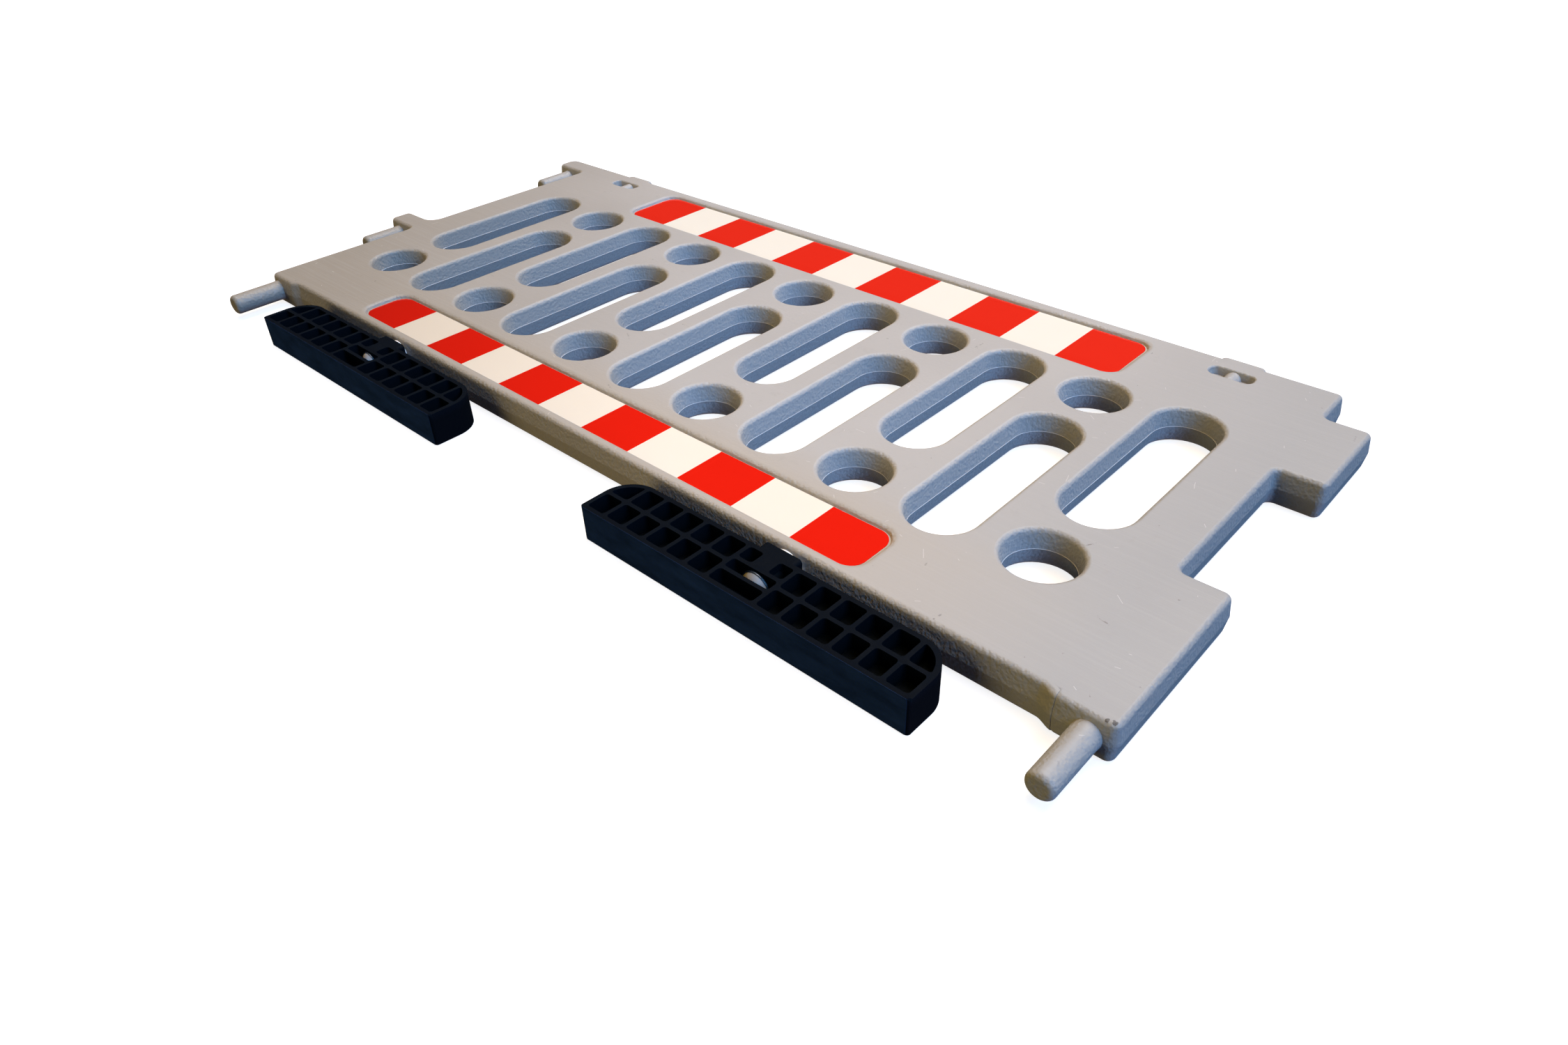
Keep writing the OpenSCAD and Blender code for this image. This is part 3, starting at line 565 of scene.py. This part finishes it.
def soften_recess(mesh, box):
    """Moves the wall points of the recess round a film to their place on the soft curve."""
    middle = Vector(((box[0][0] + box[1][0]) / 2, (box[0][1] + box[1][1]) / 2))
    half = Vector((RECESS_HALF_X, (box[1][1] - box[0][1]) / 2 + RECESS_MARGIN))
    moved = 0
    for vert in mesh.vertices:
        rise = (vert.co.z - FRONT_Z + RECESS_DEPTH) / RECESS_DEPTH
        if not -LEVEL_SPARE < rise < 1 + LEVEL_SPARE:
            continue
        away = Vector((vert.co.x - middle.x, vert.co.y - middle.y))
        sign = Vector((math.copysign(1, away.x), math.copysign(1, away.y)))
        past = Vector((abs(away.x) - half.x + RECESS_CORNER, abs(away.y) - half.y + RECESS_CORNER))
        if past.x > 0 and past.y > 0:
            distance, towards = past.length - RECESS_CORNER, past.normalized()
        elif past.x > past.y:
            distance, towards = past.x - RECESS_CORNER, Vector((1, 0))
        else:
            distance, towards = past.y - RECESS_CORNER, Vector((0, 1))
        if not WALL_INSIDE < distance < WALL_OUTSIDE:
            continue
        rise = min(max(rise, 0.0), 1.0)
        step = RIM_START + RIM_WIDTH * (1 - math.sqrt(1 - rise * rise)) - distance
        vert.co.x += sign.x * towards.x * step
        vert.co.y += sign.y * towards.y * step
        moved += 1
    return moved


for name, box in STRIPS.items():
    print(name, "recess: moved", soften_recess(shell.data, box), "points")

# %% [markdown]
# At each lower corner the bottom edge swells down by 8 mm to carry a pin. The moulding runs into that pad
# in a long S and not in a step. A bevel can't reach so far, so the same edge section is swept along an
# S-shaped path and laid over the step. Both ends of the sweep lie a hair inside the shell, so no seam
# shows.

# %% Section of the panel's edge
EDGE_DRAFT, EDGE_RADIUS, EDGE_DEPTH, HALF_THICK = 4.0, 8.0, 14.0, 30.0  # mm
ARC_STEPS = 10


def edge_section():
    """The panel's edge as (how far outward, height) in mm, from the back face round to the front."""
    lean = math.atan2(EDGE_DRAFT, HALF_THICK)
    centre = -EDGE_DRAFT - EDGE_RADIUS * (1 - math.sin(lean)) / math.cos(lean)
    turns = [lean + (math.pi / 2 - lean) * i / ARC_STEPS for i in range(ARC_STEPS + 1)]
    arc = [(centre + EDGE_RADIUS * math.cos(t), HALF_THICK - EDGE_RADIUS + EDGE_RADIUS * math.sin(t))
           for t in turns]
    upper = [(0.0, 0.0)] + arc + [(-EDGE_DEPTH, HALF_THICK)]
    return [(o, -z) for o, z in reversed(upper[1:])] + upper


print("edge section:", len(edge_section()), "points")

# %% [markdown]
# The sweep sets one copy of the section at each step of the path, square to it. The path's height is the
# smooth step 3t² - 2t³, which starts and ends level.

# %% Path of the run-in
PAD_DROP = 8.0  # mm
HAIR = 0.06  # mm that the sweep starts inside the edge
IN_HEIGHT = 0.999  # the sweep's height, as a share of the shell's
SWEEP_STEPS = 28
BOTTOM_EDGE_Y = -378.0  # mm


def swept_points(section, start_x, end_x):
    points = []
    for i in range(SWEEP_STEPS + 1):
        t = i / SWEEP_STEPS
        x = start_x + (end_x - start_x) * t
        y = BOTTOM_EDGE_Y + HAIR - PAD_DROP * t * t * (3 - 2 * t)
        slope = -PAD_DROP * 6 * t * (1 - t) / (end_x - start_x)
        outward = Vector((slope, -1)).normalized()
        points += [((x + outward.x * o) * MM, (y + outward.y * o) * MM, (HALF_THICK + z * IN_HEIGHT) * MM)
                   for o, z in section]
    return points


print("run-in:", SWEEP_STEPS, "steps, drop", PAD_DROP, "mm")

# %% [markdown]
# Each copy of the section is then joined to the next with four-sided faces, and the two ends are closed,
# so the run-in is a whole piece with an inside. It takes the panel's own polyethylene.

# %% Run-in of the corner pads
RUN_INS = {"pad_run_in_right": (899, 924), "pad_run_in_left": (-806, -833)}  # mm, from level to full drop
SHARP_RUN_IN = math.radians(10)


def pad_run_in(name, start_x, end_x):
    section = edge_section()
    n = len(section)
    faces = [(i * n + j, i * n + (j + 1) % n, (i + 1) * n + (j + 1) % n, (i + 1) * n + j)
             for i in range(SWEEP_STEPS) for j in range(n)]
    last = SWEEP_STEPS * n
    faces += [tuple(range(n)), tuple(reversed(range(last, last + n)))]
    mesh = bpy.data.meshes.new(name)
    mesh.from_pydata(swept_points(section, start_x, end_x), [], faces)
    work = bmesh.new()
    work.from_mesh(mesh)
    bmesh.ops.recalc_face_normals(work, faces=work.faces)
    for face in work.faces:
        face.smooth = len(face.verts) == 4
    for edge in work.edges:
        edge.smooth = edge.calc_face_angle(0.0) < SHARP_RUN_IN
    work.to_mesh(mesh)
    work.free()
    mesh.materials.append(polyethylene)
    piece = bpy.data.objects.new(name, mesh)
    bpy.context.scene.collection.objects.link(piece)
    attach(piece, "barrier")
    return piece


for name, (start_x, end_x) in RUN_INS.items():
    print(name, len(pad_run_in(name, start_x, end_x).data.polygons), "faces")

# %% [markdown]
# Flash is the thread of plastic that squeezes out between the two halves of the mould. Along the outside
# it is trimmed flush, and inside the holes and slots a fine pale ridge is left. A painted line would look
# flat from the side, so it is given a shape. The first step collects the edges of the shell that lie at
# the middle of its thickness, inside the openings alone.

# %% Seams of the openings
OPENINGS_X = (-0.83, 0.85)  # metres; the panel's outer edge is outside one range or the other
OPENINGS_Y = (-0.25, 0.31)


def opening_seams():
    """The parting line's edges inside the openings, their points, and each point's way out of the wall."""
    source = bmesh.new()
    source.from_mesh(shell.data)
    source.verts.ensure_lookup_table()
    seams, outward = [], {}
    for edge in source.edges:
        if any(abs(v.co.z - PARTING_Z) > WELD for v in edge.verts) or len(edge.link_faces) != 2:
            continue
        if edge.calc_face_angle(0.0) < PARTING_ANGLE:
            continue
        spot = edge.verts[0].co
        if not (OPENINGS_X[0] < spot.x < OPENINGS_X[1] and OPENINGS_Y[0] < spot.y < OPENINGS_Y[1]):
            continue
        across = sum((f.normal for f in edge.link_faces), Vector())
        across.z = 0.0
        across.normalize()
        seams.append([v.index for v in edge.verts])
        for vert in edge.verts:
            outward[vert.index] = outward.get(vert.index, Vector()) + across
    points = {i: source.verts[i].co.copy() for i in outward}
    source.free()
    return seams, points, outward


seams, seam_points, seam_outward = opening_seams()
print("seams inside the openings:", len(seams), "edges")

# %% [markdown]
# Each edge then gets two small slopes that meet in a ridge: its root is sunk in the wall and its crest
# stands 0.4 mm out of it. The plastic is stretched thin there and whitens, so the flash has a finish of
# its own, the same polyethylene but paler.

# %% Flash along the parting line
FLASH_HEIGHT = 0.4 * MM
FLASH_ROOT = 0.3 * MM
FLASH_HALF = 0.65 * MM  # half of the ridge's width

stretched = plain_finish("polyethylene_flash_stretched", "#dfddda", "#c9c6c0", 14, 0.5, ior=1.54)


def flash_ridge():
    low, high = Vector(cad_box[0]), Vector(cad_box[1])
    up = Vector((0, 0, FLASH_HALF))
    rows, first_row = [], {}
    for index, direction in seam_outward.items():
        direction = direction.normalized()
        root = seam_points[index] - direction * FLASH_ROOT
        crest = seam_points[index] + direction * FLASH_HEIGHT
        crest = Vector([min(max(c, lo), hi) for c, lo, hi in zip(crest, low, high)])
        first_row[index] = len(rows)
        rows += [root - up, crest, root + up]
    faces = []
    for a, b in seams:
        i, j = first_row[a], first_row[b]
        faces += [(i, j, j + 1, i + 1), (i + 1, j + 1, j + 2, i + 2)]
    mesh = bpy.data.meshes.new("parting_flash")
    mesh.from_pydata(rows, [], faces)
    mesh.materials.append(stretched)
    ridge = bpy.data.objects.new("parting_flash", mesh)
    bpy.context.scene.collection.objects.link(ridge)
    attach(ridge, "barrier")
    return ridge


print("parting flash:", len(flash_ridge().data.polygons), "faces")

# %% [markdown]
# No moulded or turned edge is a knife edge, and each one catches a thread of light. The rubber feet and
# the small parts of the swivel get the same joined copy with a narrow bevel. A modifier does it, since it
# can be set once for every hard edge, and it stops by itself where two edges come close.

# %% Narrow bevels
FOOT_EDGE = 1.7 * MM
SMALL_EDGE = 0.35 * MM


def bevelled(piece, width, segments=2):
    bevel = piece.modifiers.new("edge", "BEVEL")
    bevel.width = width
    bevel.segments = segments
    bevel.limit_method = "ANGLE"
    bevel.angle_limit = HARD_ANGLE
    bevel.harden_normals = False
    even_normals(piece)


print("bevels:", FOOT_EDGE / MM, "mm on the feet,", SMALL_EDGE / MM, "mm on the small parts")

# %% [markdown]
# The upright corners of the soles are rounder than a narrow bevel, so these few edges are picked by their
# place and direction and rounded first, in the mesh itself.

# %% Round corners of the soles
SOLE_CORNER = 5.0 * MM
CORNER_STEPS = 5
SOLE_BAND = 2 * MM  # how far up from the sole a corner is looked for
UPRIGHT = 0.9  # an edge is upright if this share of its length is height


def round_sole_corners(piece):
    """Rounds the upright corners at the two ends of the sole, which are the widest ones of the mould."""
    mesh = piece.data
    low = min(v.co.y for v in mesh.vertices)
    work = bmesh.new()
    work.from_mesh(mesh)
    upright = [e for e in work.edges
               if len(e.link_faces) == 2 and e.calc_face_angle(0.0) > HARD_ANGLE
               and abs(e.verts[0].co.z - e.verts[1].co.z) > UPRIGHT * e.calc_length()
               and max(v.co.y for v in e.verts) < low + SOLE_BAND]
    made = bmesh.ops.bevel(work, geom=upright, offset=SOLE_CORNER, segments=CORNER_STEPS, profile=0.5,
                           affect="EDGES", clamp_overlap=True)
    for face in made["faces"]:
        face.smooth = True
    for edge in work.edges:
        if len(edge.link_faces) == 2:
            edge.smooth = edge.calc_face_angle(0.0) < HARD_ANGLE
    work.to_mesh(mesh)
    work.free()
    return len(upright)


print("sole corners:", SOLE_CORNER / MM, "mm")

# %% [markdown]
# Both sides of the swivel are alike, so one loop dresses them. A foot rides on its own body and turns with
# it; the bolt and the washers stay with the barrier, since they are screwed down to the panel.

# %% Feet and swivel parts
SMALL_PARTS = (("pivot_bolt", "bolt", nylon, "white_nylon"),
               ("thrust_washer", "nylon_washer", nylon, "white_nylon"),
               ("head_washer", "steel_washer", zinc, "zinc_steel"))

for side in ("left", "right"):
    foot = smooth_copy(f"foot_{side}", f"rubber_foot_{side}", f"swivel_foot_{side}", rubber)
    print(side, "foot: rounded", round_sole_corners(foot), "upright edges of the sole")
    bevelled(foot, FOOT_EDGE)
    for node_name, piece_name, material, slot in SMALL_PARTS:
        part = smooth_copy(f"{node_name}_{side}", f"{piece_name}_{side}", "barrier", material)
        bevelled(part, SMALL_EDGE)
    print(side, "foot:", len(foot.data.polygons), "faces")

# %% [markdown]
# The films are flat and the sleeves and inserts are hidden, so they need no better mesh. They keep their
# solids as they are and only take their materials.

# %% Materials of the remaining pieces
FINISHES = {"strip_top_red": red_film, "strip_bottom_red": red_film, "strip_top_white": white_film,
            "strip_bottom_white": white_film, "pivot_sleeve_left": zinc, "pivot_sleeve_right": zinc,
            "bolt_insert_left": brass, "bolt_insert_right": brass}
for node_name, material in FINISHES.items():
    mesh = nodes[node_name].data
    mesh.materials.clear()
    mesh.materials.append(material)
print("finished nodes:", len(FINISHES))

# %% [markdown]
# The floor is an opal acrylic sheet, lit from behind as on a product table, so it stays an even white with
# hardly a shadow on it. It is far larger than the barrier and turned up at its four ends, so no dark
# horizon shows from the side. A plain white floor would need so much light that the barrier would wash
# out. That is also why the sheet's own light doesn't fall on the barrier or show in its gloss.

# %% Floor
FLOOR_HALF = 30.0
FLOOR_GLOW = 0.84
corners = [(-FLOOR_HALF, -FLOOR_HALF), (FLOOR_HALF, -FLOOR_HALF), (FLOOR_HALF, FLOOR_HALF),
           (-FLOOR_HALF, FLOOR_HALF)]
floor_mesh = bpy.data.meshes.new("floor")
floor_mesh.from_pydata([(x, y, z) for z in (0, FLOOR_HALF) for x, y in corners], [],
                       [(0, 1, 2, 3), (1, 0, 4, 5), (2, 1, 5, 6), (3, 2, 6, 7), (0, 3, 7, 4)])
floor = bpy.data.objects.new("floor", floor_mesh)
bpy.context.scene.collection.objects.link(floor)
opal, _, opal_shader = new_material("acrylic_sheet_opal")
fill(opal_shader, {"Base Color": "#a8a8a8", "Roughness": 0.9, "Emission Color": "#ffffff",
                   "Emission Strength": FLOOR_GLOW})
floor_mesh.materials.append(opal)
floor.visible_diffuse = False
floor.visible_glossy = False
floor.visible_shadow = False
print("floor:", 2 * FLOOR_HALF, "m square")

# %% [markdown]
# The studio light is a set of wide soft sources, so far away that every part of the barrier gets the same
# of them. A warm one and a neutral one stand overhead. A cool one, like a window, is beyond the right-hand
# end. A weak one comes up from under that end, as light thrown back from the ground, and a dim warm one
# fills the front. Area lamps would do as well, but they fall off with distance and so light the near end
# more than the far one. The warm ones don't show in gloss, or they would tint the red film orange.

# %% Light
LIGHTS = (  # name, direction it comes from, width in degrees, level, colour, does it show in gloss
    ("warm_overhead", (0.0, 0.03, 1.0), 34, 0.41, "#ffc42e", False),
    ("overhead_behind", (0.0, 0.5, 0.87), 40, 0.85, "#fffcff", True),
    ("cool_side", (0.79, 0.0, 0.62), 30, 0.93, "#70b8ff", True),
    ("from_below_side", (0.75, 0.0, -0.66), 50, 0.15, "#decdff", True),
    ("warm_front", (-0.35, -0.92, 0.18), 36, 0.31, "#ffe9aa", False),
)
ROOM_COLOUR, ROOM_LEVEL = "#ffeccf", 0.01


def far_light(name, towards, width_deg, level, colour, in_gloss):
    """A source at no set distance; level 1 makes a white sheet that faces it just white."""
    data = bpy.data.lights.new(name, "SUN")
    data.angle = math.radians(width_deg)
    data.energy = math.pi * level
    data.color = linear(colour)[:3]
    lamp = bpy.data.objects.new(name, data)
    lamp.rotation_euler = Vector(towards).to_track_quat("Z", "Y").to_euler()
    lamp.visible_glossy = in_gloss
    bpy.context.scene.collection.objects.link(lamp)


for light in LIGHTS:
    far_light(*light)
world = bpy.data.worlds.new("studio")
bpy.context.scene.world = world
world.use_nodes = True
fill(world.node_tree.nodes["Background"], {"Color": ROOM_COLOUR, "Strength": ROOM_LEVEL})
bpy.context.scene.view_settings.view_transform = "Standard"
print("lights:", len(LIGHTS))
